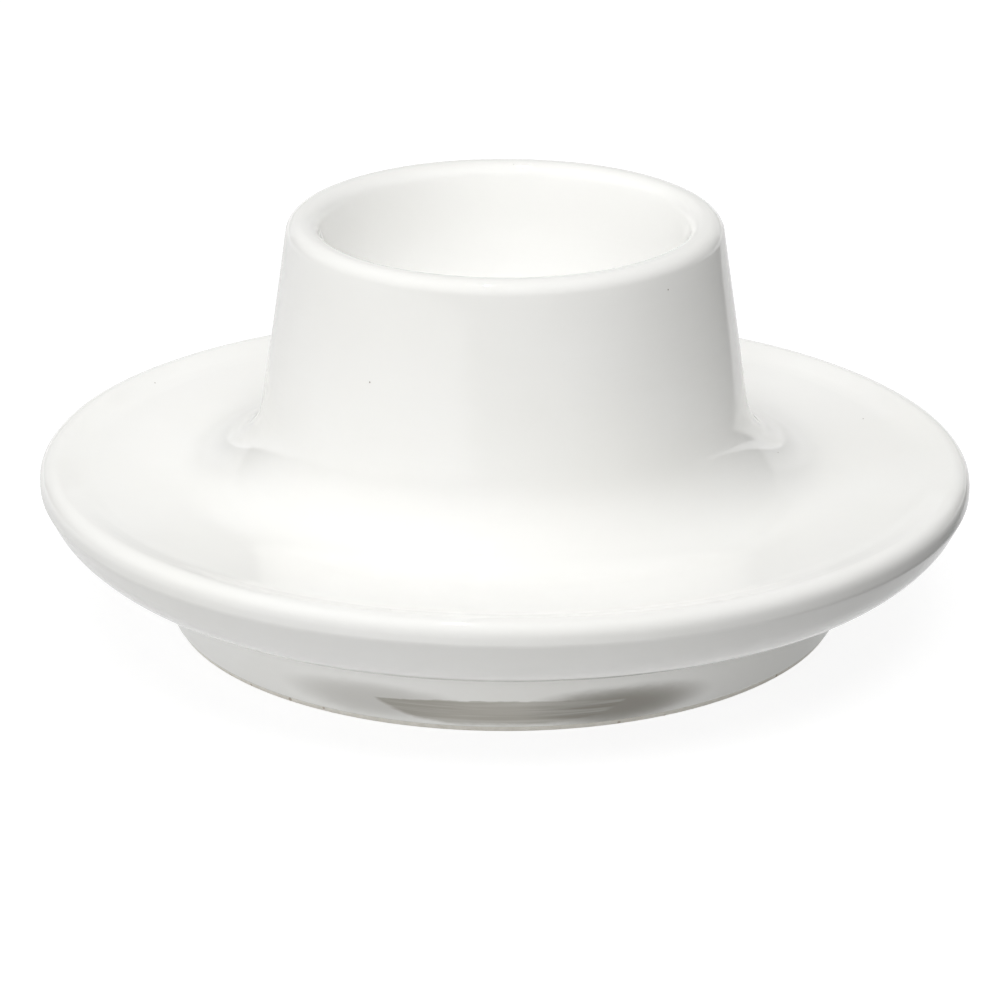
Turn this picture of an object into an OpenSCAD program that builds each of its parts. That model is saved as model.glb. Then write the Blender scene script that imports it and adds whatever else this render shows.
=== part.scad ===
// Egg cup in one with its saucer, shaped like a hat: white glazed stoneware.
// The origin is the centre of the foot, on the table. Z is up.

/* [Overall] */
// Diameter over the brim
brim_d = 120; // [110:1:132]
// Height from the table to the top of the lip
cup_h = 52.4; // [48:0.2:60]

/* [Cup] */
// Diameter of the mouth, across the inner edge of the lip
mouth_d = 47.4; // [44:0.2:52]
// Width of the lip, from the mouth to the outer wall
lip_w = 4; // [3:0.1:5]
// Radius that rounds both edges of the lip
lip_round = 2; // [0.8:0.1:2.2]
// How far the outer wall spreads between the lip and the brim
wall_spread = 5; // [2:0.1:7]
// Depth of the egg's bowl below the lip
bowl_depth = 25; // [22:0.5:33]
// How far the bowl's side draws in between the lip and the floor
bowl_taper = 2; // [0:0.1:4]
// Radius between the bowl's side and its floor
bowl_round = 19; // [12:0.5:20]
// Thickness of the wall, glaze included
wall_t = 4.5; // [3.5:0.1:5.5]
// Radius of the sweep from the wall out to the brim
sweep_round = 10.5; // [5:0.5:14]

/* [Saucer] */
// Height of the brim where the cup's wall would meet it
brim_h = 18.2; // [16:0.1:20]
// Height of the shallow dip just inside the rolled edge
dip_h = 19.6; // [17:0.1:20.2]
// Width of the rolled edge, from the dip to the outside
roll_w = 6; // [4:0.1:9]
// Radius at the bottom of the dip
dip_round = 12; // [2:0.5:16]
// Height of the outer edge before it is rounded
edge_h = 21.2; // [19.8:0.1:23]
// Radius that rounds the top of the edge
edge_round = 2; // [0.8:0.1:2.2]
// Height at which the edge turns under
turn_h = 17.6; // [16.8:0.1:18.4]
// Radius at the turn
turn_round = 1.3; // [0.8:0.1:4]
// How far in from the edge the belly of the underside lies
belly_in = 3.2; // [2.5:0.1:6]
// Height of the belly
belly_h = 11.4; // [9.5:0.1:12]
// Radius of the belly
belly_round = 10; // [4:0.5:12]

/* [Foot] */
// Where the foot stands between the cup's wall and the edge of the brim
foot_share = 0.41; // [0.3:0.01:0.5]
// Width of the foot's ring
foot_w = 5; // [4:0.1:7]
// Height of the crease between the underside and the foot
crease_h = 7.7; // [6:0.1:8]
// Radius in the crease
crease_round = 0.8; // [0.3:0.1:1.2]
// Radius that rounds the standing edge of the foot
foot_round = 1; // [0.6:0.1:1.6]
// How far the foot's outer wall draws in towards the table
foot_draft = 0.3; // [0:0.1:1]
// Height of the foot below its joint with the saucer
foot_h = 5.8; // [4.8:0.1:6]

/* [Hollow] */
// Radius where the hollow's ceiling meets the foot
ceiling_round = 3; // [1:0.5:4]
// Radius where the hollow turns up inside the cup
throat_round = 4; // [2:0.5:6]
// Radius at the top of the hollow, between the wall and the bowl
crown_round = 1.6; // [0.8:0.1:2.4]
// Slope of the bowl's underside, in degrees
bowl_slope = 45; // [38:1:52]

/* [Glaze] */
// Thickness of the glaze
glaze_t = 0.4; // [0.2:0.05:0.5]
// Height of the bare clay above the table
bare_h = 0.8; // [0.7:0.1:2.5]

/* [Hidden] */
// Largest step of angle along a rounded corner
arc_step = 6;
$fn = 180;
clay_colour = "#efe7d8";
glaze_colour = "#f8f8f5";
brim_r = brim_d / 2;
mouth_r = mouth_d / 2;
bowl_h = cup_h - bowl_depth;
bowl_r = mouth_r - bowl_taper;
lip_r = mouth_r + lip_w;
wall_r = lip_r + wall_spread;
foot_r = wall_r + foot_share * (brim_r - wall_r);
foot_in_r = foot_r - foot_w;
stand_r = foot_r - foot_w / 2;
ceiling_h = brim_h - wall_t;
// Reach of the squares that part one piece from the next
reach = brim_d;

// Vectors along and across an outline, whose corners are [r, z, radius]
function point(p) = [p[0], p[1]];
function side(p, i) = point(p[i + 1]) - point(p[i]);
function unit(v) = v / norm(v);
function across(v) = [v[1], -v[0]] / norm(v);
function turn(p, i) = atan2(cross(side(p, i - 1), side(p, i)), side(p, i - 1) * side(p, i));
function inner(p, i) = i > 0 && i < len(p) - 1;

// Length of a side that a corner's radius takes up, and the share that fits
function take(p, i) = inner(p, i) ? p[i][2] * tan(abs(turn(p, i)) / 2) : 0;
function fit_share(p, i) = min(1, norm(side(p, i)) / max(take(p, i) + take(p, i + 1), norm(side(p, i))));
function fit_round(p) = [for (i = [0:len(p) - 1])
    inner(p, i) ? [p[i][0], p[i][1], p[i][2] * min(fit_share(p, i - 1), fit_share(p, i))] : p[i]];

// The same outline, moved to the right of its direction by t
function mitre(a, b) = (a + b) / (1 + a * b);
function shift(p, i) = inner(p, i) ? mitre(across(side(p, i - 1)), across(side(p, i)))
    : across(side(p, min(i, len(p) - 2)));
function moved(p, t) = [for (i = [0:len(p) - 1])
    let (c = point(p[i]) + t * shift(p, i), bend = inner(p, i) ? sign(turn(p, i)) : 0)
    [c[0], c[1], max(0, p[i][2] + bend * t)]];

// Centre of a corner's arc, and the outline with every corner drawn as its arc
function arc_centre(p, i) = point(p[i]) + p[i][2] / cos(turn(p, i) / 2)
    * unit(unit(side(p, i)) - unit(side(p, i - 1)));
function corner(p, i) = let (
        a = turn(p, i), n = ceil(abs(a) / arc_step),
        c = arc_centre(p, i),
        from = across(side(p, i - 1)) * sign(a) * p[i][2])
    [for (k = [0:n]) let (b = a * k / n) c + [from[0] * cos(b) - from[1] * sin(b), from[0] * sin(b) + from[1] * cos(b)]];
function drawn(p) = [for (i = [0:len(p) - 1])
    each (inner(p, i) && p[i][2] > 0 ? corner(p, i) : [point(p[i])])];
function reversed(p) = [for (i = [len(p) - 1:-1:0]) p[i]];

// Glazed surface from the middle of the bowl, over the lip and the brim, to the foot
outside = fit_round([
    [0, bowl_h, 0],
    [bowl_r, bowl_h, bowl_round],
    [mouth_r, cup_h, lip_round],
    [lip_r, cup_h, lip_round],
    [wall_r, brim_h, sweep_round],
    [brim_r - roll_w, dip_h, dip_round],
    [brim_r, edge_h, edge_round],
    [brim_r, turn_h, turn_round],
    [brim_r - belly_in, belly_h, belly_round],
    [foot_r, crease_h, crease_round],
    [foot_r - foot_draft, -glaze_t, foot_round],
    [stand_r, -glaze_t, 0]]);

// The bowl's underside slopes at a tangent to the bowl's own arc, one wall away from it
bowl_centre = arc_centre(outside, 1);
bowl_arc = outside[1][2] + wall_t;
tangent_at = bowl_centre + bowl_arc * [sin(bowl_slope), -cos(bowl_slope)];
dome_r = tangent_at[0] - (tangent_at[1] - bowl_h + wall_t) / tan(bowl_slope);
// The hollow's side runs beside the cup's wall, one wall away from it
wall_way = unit([wall_r - lip_r, brim_h - cup_h]);
inner_wall = [wall_r, brim_h] + wall_t * across(wall_way);
throat_r = inner_wall[0] + (ceiling_h - inner_wall[1]) * wall_way[0] / wall_way[1];
crown_gap = cross(tangent_at - inner_wall, wall_way) / cross([cos(bowl_slope), sin(bowl_slope)], wall_way);
crown = tangent_at - crown_gap * [cos(bowl_slope), sin(bowl_slope)];

// Glazed surface from the foot, up into the hollow, to the middle of the bowl's underside
underside = fit_round([
    [stand_r, -glaze_t, 0],
    [foot_in_r, -glaze_t, foot_round],
    [foot_in_r, ceiling_h, ceiling_round],
    [throat_r, ceiling_h, throat_round],
    [crown[0], crown[1], crown_round],
    [dome_r, bowl_h - wall_t, bowl_arc],
    [0, bowl_h - wall_t, 0]]);

// Section through all the clay, one glaze thickness inside both glazed surfaces
module clay_section() {
    polygon(concat(drawn(moved(outside, glaze_t)), drawn(moved(underside, glaze_t))));
}

// Section through the glaze on one surface, cut off above the bare standing edge
module glaze_section(surface) {
    intersection() {
        polygon(concat(drawn(surface), reversed(drawn(moved(surface, glaze_t)))));
        translate([0, bare_h]) square(reach);
    }
}

// Cup: lip, wall, bowl and the sweep as far as the foot's inner wall
module cup() {
    color(clay_colour) rotate_extrude() intersection() {
        clay_section();
        translate([0, foot_h]) square([foot_in_r, reach]);
    }
}

// Saucer: the brim with its rolled edge and belly, round the cup
module saucer() {
    color(clay_colour) rotate_extrude() intersection() {
        clay_section();
        translate([foot_in_r, foot_h]) square(reach);
    }
}

// Foot ring, bare where it stands
module foot_ring() {
    color(clay_colour) rotate_extrude() intersection() {
        clay_section();
        square([reach, foot_h]);
    }
}

// Glaze over the bowl, the lip, the wall, the brim and the outside of the foot
module glaze_outside() {
    color(glaze_colour) rotate_extrude() glaze_section(outside);
}

// Glaze in the hollow under the cup
module glaze_underside() {
    color(glaze_colour) rotate_extrude() glaze_section(underside);
}

cup();
saucer();
foot_ring();
glaze_outside();
glaze_underside();
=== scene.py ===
import math

import bmesh
import bpy
from mathutils import Matrix, Vector, noise


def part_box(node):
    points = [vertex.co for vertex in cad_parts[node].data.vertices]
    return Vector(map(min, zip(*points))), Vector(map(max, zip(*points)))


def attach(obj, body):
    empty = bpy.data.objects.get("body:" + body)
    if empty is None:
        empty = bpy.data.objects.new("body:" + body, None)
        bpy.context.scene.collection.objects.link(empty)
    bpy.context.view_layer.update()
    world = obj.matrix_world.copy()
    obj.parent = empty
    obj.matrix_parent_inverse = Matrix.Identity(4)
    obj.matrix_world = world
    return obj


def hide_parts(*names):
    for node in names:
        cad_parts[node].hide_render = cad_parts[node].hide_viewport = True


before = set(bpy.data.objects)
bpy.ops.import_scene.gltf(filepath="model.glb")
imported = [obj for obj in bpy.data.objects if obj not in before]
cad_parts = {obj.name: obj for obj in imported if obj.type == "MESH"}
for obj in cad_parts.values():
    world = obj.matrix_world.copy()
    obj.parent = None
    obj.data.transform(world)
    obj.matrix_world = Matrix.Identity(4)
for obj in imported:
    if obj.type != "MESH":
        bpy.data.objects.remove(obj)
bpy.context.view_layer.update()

mm = 0.001
print("frame loaded:", ", ".join(sorted(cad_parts)))

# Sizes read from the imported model
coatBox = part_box("glaze_outside")
brimRadius = coatBox[1].x
cupHeight = coatBox[1].z
bareLine = coatBox[0].z

# Outline of the outside glaze in millimetres, the same form as the solids'
surface = {
    "glazeThick": 0.4,
    "mouth": 23.7, "lipWidth": 4.0, "lipRound": 2.0, "wallSpread": 5.0,
    "bowlDepth": 25.0, "bowlTaper": 2.0, "bowlRound": 19.0,
    "brimHeight": 18.2, "sweepRound": 10.5,
    "rollWidth": 6.0, "dipHeight": 19.6, "dipRound": 12.0,
    "edgeHeight": 21.2, "edgeRound": 2.0, "turnHeight": 17.6, "turnRound": 1.3,
    "bellyIn": 3.2, "bellyHeight": 11.4, "bellyRound": 10.0,
    "footRadius": 43.89, "creaseHeight": 7.7, "creaseRound": 0.8, "footDraft": 0.3,
    "beadRound": 0.3, "hem": 0.6,
    "arcSteps": 10, "turns": 240, "stretch": 2.0, "weld": 0.002, "leastTake": 0.02, "takeShare": 0.999,
}

# How the kiln left the brim, in millimetres: front up, right side down
warp = {"frontRise": 0.56, "rightDrop": 0.44, "inner": 31.0, "outer": 46.0, "low": 6.0, "high": 11.0}

# Slow unevenness of a hand-dipped glaze: depth in millimetres, size per metre
ripple = {
    "depth": 0.10, "size": 55.0, "fineDepth": 0.02, "fineSize": 190.0, "fineShift": (7, 3, 5), "calm": 3.0,
}


def outsideCorners(s):
    brim = brimRadius / mm
    lip = s["mouth"] + s["lipWidth"]
    wallFoot = lip + s["wallSpread"]
    floorHeight = cupHeight / mm - s["bowlDepth"]
    return [
        (0, floorHeight, 0),
        (s["mouth"] - s["bowlTaper"], floorHeight, s["bowlRound"]),
        (s["mouth"], cupHeight / mm, s["lipRound"]),
        (lip, cupHeight / mm, s["lipRound"]),
        (wallFoot, s["brimHeight"], s["sweepRound"]),
        (brim - s["rollWidth"], s["dipHeight"], s["dipRound"]),
        (brim, s["edgeHeight"], s["edgeRound"]),
        (brim, s["turnHeight"], s["turnRound"]),
        (brim - s["bellyIn"], s["bellyHeight"], s["bellyRound"]),
        (s["footRadius"], s["creaseHeight"], s["creaseRound"]),
        (s["footRadius"] - s["footDraft"], bareLine / mm, s["beadRound"]),
        (s["footRadius"] - s["footDraft"] - s["hem"], bareLine / mm, 0),
    ]


def roundedWire(bm, corners, s):
    # a wire through the corners, each one then rounded by a vertex bevel
    points = [Vector((r * mm, 0, z * mm)) for r, z, _ in corners]
    verts = [bm.verts.new(p) for p in points]
    for a, b in zip(verts, verts[1:]):
        bm.edges.new((a, b))
    takes = [0.0] * len(points)
    for i in range(1, len(points) - 1):
        turn = (points[i] - points[i - 1]).angle(points[i + 1] - points[i])
        takes[i] = corners[i][2] * mm * math.tan(turn / 2)
    lengths = [(b - a).length for a, b in zip(points, points[1:])]
    shares = [min(1.0, n / max(a + b, n)) for n, a, b in zip(lengths, takes, takes[1:])]
    for i in range(1, len(points) - 1):
        take = takes[i] * min(shares[i - 1], shares[i]) * s["takeShare"]
        if take < s["leastTake"] * mm:
            continue
        bmesh.ops.bevel(
            bm, geom=[verts[i]], offset=take, offset_type="OFFSET", segments=s["arcSteps"],
            profile=0.5, affect="VERTICES", material=-1, clamp_overlap=False)


def shortened(bm, longest):
    # long straight stretches take more rings, so that they can bend
    for edge in list(bm.edges):
        cuts = int(edge.calc_length() / longest)
        if cuts:
            bmesh.ops.subdivide_edges(bm, edges=[edge], cuts=cuts)


def smooth(value, low, high):
    t = min(1.0, max(0.0, (value - low) / (high - low)))
    return t * t * (3 - 2 * t)


def settled(co, w):
    r = math.hypot(co.x, co.y) / mm
    share = smooth(r, w["inner"], w["outer"]) * smooth(co.z / mm, w["low"], w["high"])
    lift = share * (-co.y * w["frontRise"] - co.x * w["rightDrop"]) / brimRadius
    return Vector((co.x, co.y, co.z + lift * mm))


def warped(mesh, w):
    for v in mesh.vertices:
        v.co = settled(v.co, w)


def rippled(mesh, p):
    # the glaze is pressed in here and there, and never stands out of its outline
    mesh.update()
    ways = [v.normal.copy() for v in mesh.vertices]
    for v, way in zip(mesh.vertices, ways):
        slow = noise.noise(v.co * p["size"]) * 0.5 + 0.5
        fine = noise.noise(v.co * p["fineSize"] + Vector(p["fineShift"])) * 0.5 + 0.5
        hold = smooth(v.co.z, bareLine, bareLine + p["calm"] * mm)
        v.co -= way * (slow * p["depth"] + fine * p["fineDepth"]) * hold * mm


def smoothPiece(name, bm):
    for face in bm.faces:
        face.smooth = True
    mesh = bpy.data.meshes.new(name)
    bm.to_mesh(mesh)
    bm.free()
    piece = bpy.data.objects.new(name, mesh)
    bpy.context.collection.objects.link(piece)
    return piece


def revolve(name, corners, s):
    bm = bmesh.new()
    roundedWire(bm, corners, s)
    shortened(bm, s["stretch"] * mm)
    bmesh.ops.spin(
        bm, geom=bm.verts[:] + bm.edges[:], cent=(0, 0, 0), axis=(0, 0, 1),
        angle=2 * math.pi, steps=s["turns"], use_merge=True, use_duplicate=False)
    bmesh.ops.remove_doubles(bm, verts=bm.verts, dist=s["weld"] * mm)
    bmesh.ops.recalc_face_normals(bm, faces=bm.faces)
    return smoothPiece(name, bm)


coat = revolve("glazeCoat", outsideCorners(surface), surface)
rippled(coat.data, ripple)
warped(coat.data, warp)
thick = coat.modifiers.new("thickness", "SOLIDIFY")
thick.thickness = surface["glazeThick"] * mm
thick.offset = -1
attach(coat, "root")
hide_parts("glaze_outside")
print("glaze coat made")

# A run of thick glaze that set inside the lip, in millimetres
glazeRun = {
    "azimuth": -93, "radius": 23.45, "top": 50.2, "bottom": 44.5, "width": 0.75, "proud": 0.55,
    "slim": 0.6, "full": 1.2, "sides": 32, "rings": 20,
}


def makeRun(g):
    bm = bmesh.new()
    bmesh.ops.create_uvsphere(bm, u_segments=g["sides"], v_segments=g["rings"], radius=1.0)
    half = (g["top"] - g["bottom"]) / 2
    bmesh.ops.scale(bm, vec=Vector((g["width"], g["proud"], half)) * mm, verts=bm.verts)
    for v in bm.verts:
        droop = smooth(-v.co.z / (half * mm), -1, 1)
        v.co.x *= g["slim"] + (g["full"] - g["slim"]) * droop
    height = (g["top"] + g["bottom"]) / 2 * mm
    turn = Matrix.Rotation(math.radians(g["azimuth"]), 4, "Z")
    place = turn @ Matrix.Translation((0, -g["radius"] * mm, height))
    lean = Matrix.Rotation(math.atan(surface["bowlTaper"] / surface["bowlDepth"]), 4, "X")
    bmesh.ops.transform(bm, matrix=place @ lean, verts=bm.verts)
    bmesh.ops.recalc_face_normals(bm, faces=bm.faces)
    piece = smoothPiece("glazeRun", bm)
    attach(piece, "root")
    return piece


run = makeRun(glazeRun)
print("glaze run made")

# The saucer's clay takes the same warp under its glaze
saucerWeld = 0.001


def makeBody(node):
    bm = bmesh.new()
    bm.from_mesh(node.data)
    bmesh.ops.remove_doubles(bm, verts=bm.verts, dist=saucerWeld * mm)
    mesh = bpy.data.meshes.new("saucerClay")
    bm.to_mesh(mesh)
    bm.free()
    warped(mesh, warp)
    piece = bpy.data.objects.new("saucerClay", mesh)
    bpy.context.collection.objects.link(piece)
    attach(piece, "root")
    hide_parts("saucer")
    return piece


body = makeBody(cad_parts["saucer"])
print("saucer clay made")


# Materials
def addNode(tree, kind, inputs=None, **settings):
    node = tree.nodes.new(kind)
    for key, value in settings.items():
        setattr(node, key, value)
    for key, value in (inputs or {}).items():
        node.inputs[key].default_value = value
    return node


def addMath(tree, operation, first, second=None):
    # a maths node; each input is a socket or a number
    node = addNode(tree, "ShaderNodeMath", operation=operation)
    for i, value in enumerate((first, second)):
        if value is None:
            continue
        if hasattr(value, "is_linked"):
            tree.links.new(value, node.inputs[i])
        else:
            node.inputs[i].default_value = value
    return node.outputs[0]


def addRange(tree, value, low, high, start=0.0, end=1.0, ease=False):
    # start at the low end, end at the high end, and held there beyond them
    node = addNode(
        tree, "ShaderNodeMapRange",
        {"From Min": low, "From Max": high, "To Min": start, "To Max": end},
        interpolation_type="SMOOTHSTEP" if ease else "LINEAR")
    tree.links.new(value, node.inputs["Value"])
    return node.outputs["Result"]


def addBlend(tree, share, first, second):
    # mixes two colours by a share; each colour is a socket or four numbers
    node = addNode(tree, "ShaderNodeMix", data_type="RGBA")
    tree.links.new(share, node.inputs[0])
    for i, value in ((6, first), (7, second)):
        if hasattr(value, "is_linked"):
            tree.links.new(value, node.inputs[i])
        else:
            node.inputs[i].default_value = value
    return node.outputs[2]


def stretched(tree, at, scale, turn=(0, 0, 0)):
    node = addNode(tree, "ShaderNodeMapping", {"Rotation": turn, "Scale": scale})
    tree.links.new(at, node.inputs["Vector"])
    return node.outputs[0]


def cloud(tree, at, scale, detail=3.0, roughness=0.5):
    node = addNode(tree, "ShaderNodeTexNoise", {"Scale": scale, "Detail": detail, "Roughness": roughness})
    tree.links.new(at, node.inputs["Vector"])
    return node.outputs["Fac"]


def addBump(tree, height, distance, strength=1.0, under=None):
    node = addNode(tree, "ShaderNodeBump", {"Strength": strength, "Distance": distance * mm})
    tree.links.new(height, node.inputs["Height"])
    if under is not None:
        tree.links.new(under, node.inputs["Normal"])
    return node.outputs["Normal"]


# Scales are per metre, and a range is the part of a noise that counts
glazeLook = {
    "white": (0.965, 0.963, 0.942, 1), "ior": 1.5,
    "pool": (0.95, 0.947, 0.918, 1), "poolSize": 40.0, "poolRange": (0.35, 0.65),
    # painted light: the bowl inside is made lighter, by distance from the axis and by height, in metres
    "bowl": (0.985, 0.983, 0.965, 1), "bowlReach": (0.0245, 0.0235), "bowlAbove": (0.026, 0.027),
    "roughSize": 60.0, "roughRange": (0.3, 0.7), "rough": (0.03, 0.07),
    "speck": (0.16, 0.12, 0.08, 1), "speckCell": 150.0, "speckRange": (0.018, 0.0108), "speckShare": 0.85,
    # brush streaks round the wall, climbing to the right, in degrees
    "streakScale": (70, 70, 1100), "streakClimb": 7, "streakRange": (0.3, 0.7), "streakShare": 0.35,
    "streakBump": 0.012, "peelSize": 500.0, "peelBump": 0.004,
}
# A darker patch at the front of the foot, with painted shade beside it, in millimetres
footPatchAndPaintedShade = {
    "colour": (0.50, 0.48, 0.43, 1), "middle": -0.6, "half": 15.6,
    "top": 4.35, "topDrop": 0.7, "topEdge": 0.16, "low": 1.0, "lowLift": 2.6, "lowEdge": 0.45,
    "ragged": 0.12, "raggedScale": (300, 300, 900), "raggedRange": (0.3, 0.7),
    "lineScale": (60, 60, 2600), "lineRange": (0.42, 0.62), "lineShare": 0.22,
    # painted shade beside the patch: side, height, half width, half height, share
    "paintedShadeLeft": (-16.0, 3.3, 12.5, 2.6, 0.42), "paintedShadeRight": (13.4, 2.9, 12.8, 2.9, 0.95),
    # the colour of the painted shade
    "shade": (0.30, 0.285, 0.25, 1),
}
clayLook = {
    "light": (0.88, 0.86, 0.80, 1), "dark": (0.78, 0.75, 0.68, 1), "fleck": (0.34, 0.25, 0.17, 1),
    "grain": 900.0, "grainBump": 0.05, "grainRange": (0.3, 0.7), "roughness": 0.85,
    "fleckCell": 540.0, "fleckRange": (0.16, 0.10), "fleckShare": 0.6,
}


def addSpecks(tree, at, under, colour, cell, spread, share):
    cells = addNode(tree, "ShaderNodeTexVoronoi", {"Scale": cell})
    tree.links.new(at, cells.inputs["Vector"])
    inside = addRange(tree, cells.outputs["Distance"], *spread, 0.0, share)
    return addBlend(tree, inside, under, colour)


def wholeColour(tree, at, axes, streak, g):
    # pooled and thinner glaze, streaks, painted light that makes the bowl inside lighter, and iron specks
    pool = addRange(tree, cloud(tree, at, g["poolSize"], 2.0), *g["poolRange"])
    colour = addBlend(tree, pool, g["white"], g["pool"])
    brushed = addRange(tree, streak, *g["streakRange"], 0.0, g["streakShare"])
    colour = addBlend(tree, brushed, colour, g["pool"])
    flat = addNode(tree, "ShaderNodeVectorMath", {1: (1, 1, 0)}, operation="MULTIPLY")
    tree.links.new(at, flat.inputs[0])
    reach = addNode(tree, "ShaderNodeVectorMath", operation="LENGTH")
    tree.links.new(flat.outputs["Vector"], reach.inputs[0])
    near = addRange(tree, reach.outputs["Value"], *g["bowlReach"])
    above = addRange(tree, axes.outputs["Z"], *g["bowlAbove"])
    # painted light: the bowl inside turns lighter
    colour = addBlend(tree, addMath(tree, "MULTIPLY", near, above), colour, g["bowl"])
    return addSpecks(tree, at, colour, g["speck"], g["speckCell"], g["speckRange"], g["speckShare"])


def fromMiddle(tree, value, middle, half):
    return addMath(tree, "MULTIPLY", addMath(tree, "SUBTRACT", value, middle), 1 / half)


def paintedShadeSpot(tree, side, height, middle, level, halfWide, halfHigh, share):
    # an ellipse of painted shade that fades out to its edge
    a = fromMiddle(tree, side, middle * mm, halfWide * mm)
    b = fromMiddle(tree, height, level, halfHigh)
    away = addMath(tree, "ADD", addMath(tree, "MULTIPLY", a, a), addMath(tree, "MULTIPLY", b, b))
    return addRange(tree, away, 1.0, 0.0, 0.0, share, ease=True)


def footPatchWithPaintedShade(tree, at, axes, colour, white, g):
    # a darker patch that is flat on top and rounded below, and painted shade beside it
    uneven = cloud(tree, stretched(tree, at, g["raggedScale"]), 1.0, 3.0, 0.6)
    ragged = addRange(tree, uneven, *g["raggedRange"], -g["ragged"] * mm, g["ragged"] * mm)
    front = addMath(tree, "LESS_THAN", axes.outputs["Y"], 0.0)
    height = addMath(tree, "MULTIPLY", addMath(tree, "ADD", axes.outputs["Z"], ragged), 1 / mm)
    across = fromMiddle(tree, axes.outputs["X"], g["middle"] * mm, g["half"] * mm)
    square = addMath(tree, "MULTIPLY", across, across)
    fourth = addMath(tree, "MULTIPLY", square, square)
    top = addMath(tree, "SUBTRACT", g["top"], addMath(tree, "MULTIPLY", square, g["topDrop"]))
    low = addMath(tree, "ADD", g["low"], addMath(tree, "MULTIPLY", fourth, g["lowLift"]))
    under = addRange(tree, addMath(tree, "SUBTRACT", top, height), 0.0, g["topEdge"])
    over = addRange(tree, addMath(tree, "SUBTRACT", height, low), 0.0, g["lowEdge"])
    patchMask = addMath(tree, "MULTIPLY", addMath(tree, "MULTIPLY", under, over), front)
    # painted shade on both sides of the patch, darker on the right; it darkens the patch too where they
    # overlap
    paintedShades = [paintedShadeSpot(tree, axes.outputs["X"], height, *g[name]) for name in ("paintedShadeLeft", "paintedShadeRight")]
    paintedShade = addMath(tree, "MULTIPLY", addMath(tree, "MAXIMUM", *paintedShades), front)
    colour = addBlend(tree, paintedShade, colour, g["shade"])
    patchStreakNoise = cloud(tree, stretched(tree, at, g["lineScale"]), 1.0, 2.0)
    lines = addRange(tree, patchStreakNoise, *g["lineRange"], 0.0, g["lineShare"])
    patch = addBlend(tree, lines, addBlend(tree, paintedShade, g["colour"], g["shade"]), white)
    return addBlend(tree, patchMask, colour, patch)


def glazeMaterial(g, t):
    m = bpy.data.materials.new("whiteGlaze")
    m.use_nodes = True
    tree = m.node_tree
    shader = tree.nodes["Principled BSDF"]
    at = addNode(tree, "ShaderNodeTexCoord").outputs["Object"]
    axes = addNode(tree, "ShaderNodeSeparateXYZ")
    tree.links.new(at, axes.inputs[0])
    climb = (0, math.radians(g["streakClimb"]), 0)
    streak = cloud(tree, stretched(tree, at, g["streakScale"], climb), 1.0, 3.0, 0.6)
    colour = footPatchWithPaintedShade(tree, at, axes, wholeColour(tree, at, axes, streak, g), g["white"], t)
    tree.links.new(colour, shader.inputs["Base Color"])
    rough = addRange(tree, cloud(tree, at, g["roughSize"], 2.0), *g["roughRange"], *g["rough"])
    tree.links.new(rough, shader.inputs["Roughness"])
    peel = addBump(tree, cloud(tree, at, g["peelSize"], 1.0), g["peelBump"])
    tree.links.new(addBump(tree, streak, g["streakBump"], under=peel), shader.inputs["Normal"])
    shader.inputs["IOR"].default_value = g["ior"]
    return m


def clayMaterial(c):
    m = bpy.data.materials.new("bareClay")
    m.use_nodes = True
    tree = m.node_tree
    shader = tree.nodes["Principled BSDF"]
    at = addNode(tree, "ShaderNodeTexCoord").outputs["Object"]
    grain = cloud(tree, at, c["grain"], 4.0, 0.65)
    colour = addBlend(tree, addRange(tree, grain, *c["grainRange"]), c["light"], c["dark"])
    colour = addSpecks(tree, at, colour, c["fleck"], c["fleckCell"], c["fleckRange"], c["fleckShare"])
    tree.links.new(colour, shader.inputs["Base Color"])
    tree.links.new(addBump(tree, grain, c["grainBump"]), shader.inputs["Normal"])
    shader.inputs["Roughness"].default_value = c["roughness"]
    return m


whiteGlaze = glazeMaterial(glazeLook, footPatchAndPaintedShade)
bareClay = clayMaterial(clayLook)
for piece, look in ((coat, whiteGlaze), (run, whiteGlaze), (body, bareClay)):
    piece.data.materials.clear()
    piece.data.materials.append(look)
for name, look in (("cup", bareClay), ("foot_ring", bareClay), ("glaze_underside", whiteGlaze)):
    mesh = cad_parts[name].data
    mesh.materials.clear()
    mesh.materials.append(look)
print("materials set")

# Studio: levels in which 1 is white, sizes in metres
studio = {
    "floorSize": 8.0,
    "floorColour": (0.5, 0.5, 0.5, 1), "floorSeen": (0.25, 0.25, 0.25, 1), "floorGlow": 0.85,
    # right of a slanting line a painted shadow lies on the floor: the glaze mirrors it dark, and a dark
    # card of painted shadow lies there near the brim
    "floorMirrored": 0.85, "shadowMirrored": 0.22, "shadowFrom": 0.066, "shadowSlant": 0.40, "shadowBack": 0.24,
    "card": (0.10, 0.10, 0.10, 1), "shadowCardRight": 0.18, "shadowCardFront": 0.12, "edge": 0.015,
    # the table is lit from below round the foot
    "litRadius": 0.075, "litEdge": 0.03, "litLevel": 0.22,
    "airSeen": 1.0, "airMirrored": 0.04, "airLight": 0.0,
}


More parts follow.
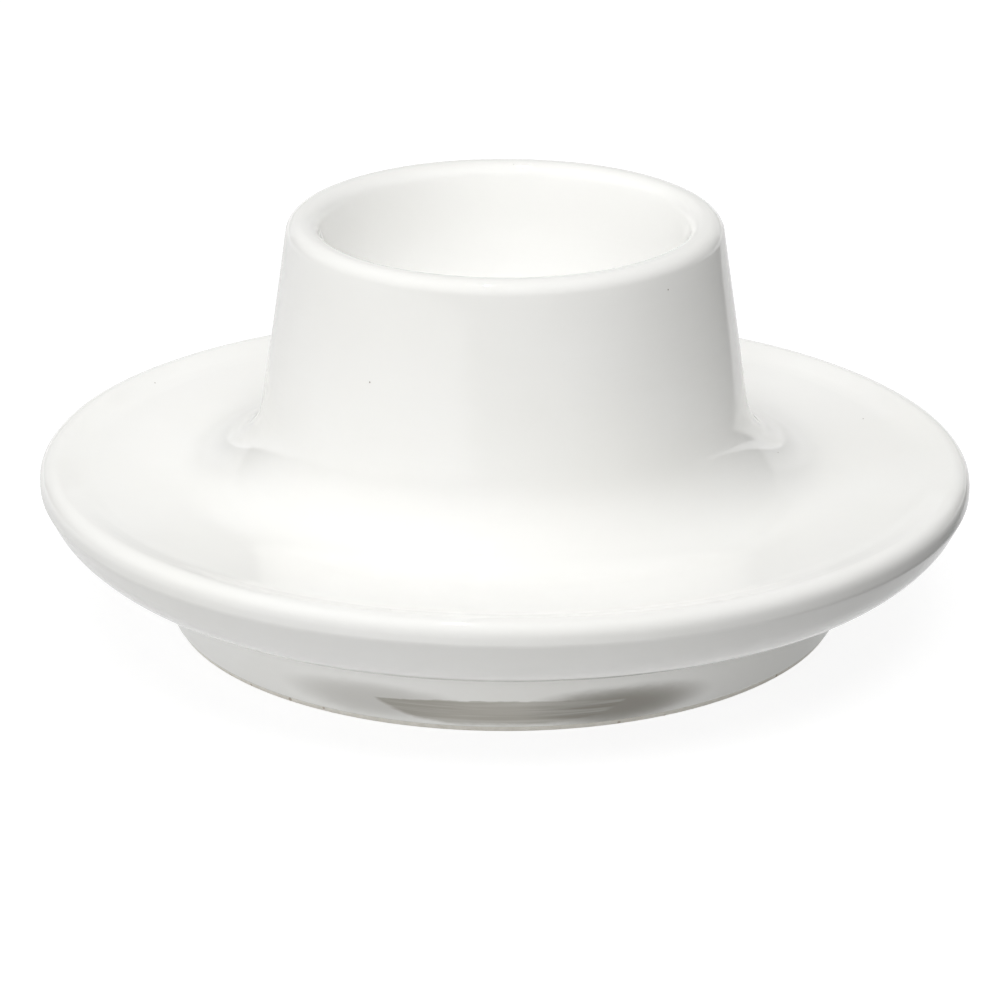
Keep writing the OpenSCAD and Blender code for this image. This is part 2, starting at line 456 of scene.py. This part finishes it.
def makeFloor(s):
    # the camera sees plain white with a faint shadow
    bm = bmesh.new()
    bmesh.ops.create_grid(bm, x_segments=1, y_segments=1, size=s["floorSize"] / 2)
    mesh = bpy.data.meshes.new("floor")
    bm.to_mesh(mesh)
    bm.free()
    floor = bpy.data.objects.new("floor", mesh)
    bpy.context.collection.objects.link(floor)
    m = bpy.data.materials.new("floorWhite")
    m.use_nodes = True
    tree = m.node_tree
    tree.nodes.clear()
    out = addNode(tree, "ShaderNodeOutputMaterial")
    matt = addNode(tree, "ShaderNodeBsdfDiffuse")
    glow = addNode(tree, "ShaderNodeEmission")
    both = addNode(tree, "ShaderNodeAddShader")
    path = addNode(tree, "ShaderNodeLightPath")
    axes = addNode(tree, "ShaderNodeSeparateXYZ")
    at = addNode(tree, "ShaderNodeTexCoord").outputs["Object"]
    tree.links.new(at, axes.inputs[0])
    slant = addMath(
        tree, "SUBTRACT", axes.outputs["X"], addMath(tree, "MULTIPLY", axes.outputs["Y"], s["shadowSlant"]))

    def past(value, limit, side=1):
        # 0 on the near side of a line, and 1 from the line on
        return addRange(tree, value, limit - side * s["edge"], limit, ease=True)

    # pale outside the painted shadow: left of the slanting line, and at the back
    pale = addMath(
        tree, "MAXIMUM", past(slant, s["shadowFrom"], -1), past(axes.outputs["Y"], s["shadowBack"]))
    beyond = addMath(
        tree, "MAXIMUM", past(axes.outputs["X"], s["shadowCardRight"]),
        past(addMath(tree, "ABSOLUTE", axes.outputs["Y"]), s["shadowCardFront"]))
    # the dark card of painted shadow, for light that bounces off the floor
    colour = addBlend(tree, addMath(tree, "MAXIMUM", pale, beyond), s["card"], s["floorColour"])
    colour = addBlend(tree, path.outputs["Is Glossy Ray"], colour, (0, 0, 0, 1))
    colour = addBlend(tree, path.outputs["Is Camera Ray"], colour, s["floorSeen"])
    tree.links.new(colour, matt.inputs["Color"])
    # the glaze mirrors the painted shadow dark
    mirrored = addRange(tree, pale, 0, 1, s["shadowMirrored"], s["floorMirrored"])
    reach = addNode(tree, "ShaderNodeVectorMath", operation="LENGTH")
    tree.links.new(at, reach.inputs[0])
    lit = addRange(
        tree, reach.outputs["Value"], s["litRadius"], s["litRadius"] - s["litEdge"],
        0.0, s["litLevel"], ease=True)
    level = addMath(tree, "MULTIPLY", path.outputs["Is Camera Ray"], s["floorGlow"])
    level = addMath(tree, "ADD", level, addMath(tree, "MULTIPLY", path.outputs["Is Diffuse Ray"], lit))
    for ray in ("Is Glossy Ray", "Is Transmission Ray"):
        level = addMath(tree, "ADD", level, addMath(tree, "MULTIPLY", path.outputs[ray], mirrored))
    tree.links.new(level, glow.inputs["Strength"])
    tree.links.new(matt.outputs[0], both.inputs[0])
    tree.links.new(glow.outputs[0], both.inputs[1])
    tree.links.new(both.outputs[0], out.inputs["Surface"])
    mesh.materials.append(m)


def makeAir(s):
    world = bpy.data.worlds.new("studioAir")
    bpy.context.scene.world = world
    world.use_nodes = True
    tree = world.node_tree
    back = tree.nodes["Background"]
    back.inputs["Color"].default_value = (1, 1, 1, 1)
    path = addNode(tree, "ShaderNodeLightPath")
    level = addRange(tree, path.outputs["Is Camera Ray"], 0, 1, s["airLight"], s["airSeen"])
    for ray in ("Is Glossy Ray", "Is Transmission Ray"):
        level = addMath(tree, "ADD", level, addMath(tree, "MULTIPLY", path.outputs[ray], s["airMirrored"]))
    tree.links.new(level, back.inputs["Strength"])


makeFloor(studio)
makeAir(studio)


def lampAt(name, spot, way, size, power, mirrored):
    data = bpy.data.lights.new(name, "AREA")
    data.shape = "RECTANGLE"
    data.size, data.size_y = size
    data.energy = power
    lamp = bpy.data.objects.new(name, data)
    lamp.location = spot
    lamp.rotation_mode = "QUATERNION"
    lamp.rotation_quaternion = Vector(way).to_track_quat("-Z", "Y")
    lamp.visible_camera = False
    lamp.visible_glossy = mirrored
    bpy.context.collection.objects.link(lamp)
    return lamp


def softbox(name, azimuth, elevation, distance, size, power, mirrored=False):
    # azimuth 0 is the camera's side, 90 the right
    a, e = math.radians(azimuth), math.radians(elevation)
    way = Vector((math.sin(a) * math.cos(e), -math.cos(a) * math.cos(e), math.sin(e)))
    return lampAt(name, way * distance, -way, size, power, mirrored)


# Lamps: name, azimuth, elevation, distance, size, power
fills = [
    ("overLeft", -45, 68, 1.6, (0.85, 0.70), 7.5),
    ("overRight", 30, 68, 1.6, (0.85, 0.70), 9.8),
    ("frontLow", 2, 15, 1.6, (0.82, 0.70), 5.7),
    ("frontLeft", -50, 15, 1.6, (0.82, 0.70), 3.6),
    ("sideLeft", -105, 15, 1.6, (0.82, 0.70), 4.2),
    ("backLeft", -162, 18, 1.6, (1.40, 0.80), 4.2),
    ("backRight", 162, 18, 1.6, (1.60, 0.80), 10.0),
]
for fill in fills:
    softbox(*fill)
softbox("smallLamp", -48, 83, 1.2, (0.065, 0.05), 2.2, True)

# The pale backdrop as the glaze mirrors it, from the table up: low, high, level
backdrop = {
    "distance": 1.2, "width": 1.56,
    "levels": [(0.005, 0.325, 0.42), (0.33, 0.67, 0.22), (0.70, 1.20, 0.12)],
}
for k, (low, high, level) in enumerate(backdrop["levels"]):
    size = (backdrop["width"], high - low)
    spot = (0, backdrop["distance"], (low + high) / 2)
    card = lampAt("backdrop%d" % k, spot, (0, -1, 0), size, level * math.pi * size[0] * size[1], True)
    card.visible_diffuse = False
print("studio lit")

# Camera, in millimetres and degrees
view = {
    "lens": 154.8, "sensor": 36.0, "near": 50.0, "far": 50000.0,
    "elevation": 20.74, "distance": 559.04, "aimHeight": 13.92, "aimSide": -0.635,
}
camData = bpy.data.cameras.new("photoCamera")
camera = bpy.data.objects.new("photoCamera", camData)
bpy.context.collection.objects.link(camera)
camData.lens = view["lens"]
camData.sensor_width = view["sensor"]
camData.clip_start = view["near"] * mm
camData.clip_end = view["far"] * mm
rise = math.radians(view["elevation"])
aim = Vector((view["aimSide"], 0, view["aimHeight"])) * mm
camera.location = aim + Vector((0, -math.cos(rise), math.sin(rise))) * view["distance"] * mm
camera.rotation_mode = "QUATERNION"
camera.rotation_quaternion = (aim - camera.location).to_track_quat("-Z", "Y")
bpy.context.scene.camera = camera
bpy.context.scene.view_settings.view_transform = "Standard"
print("camera set")
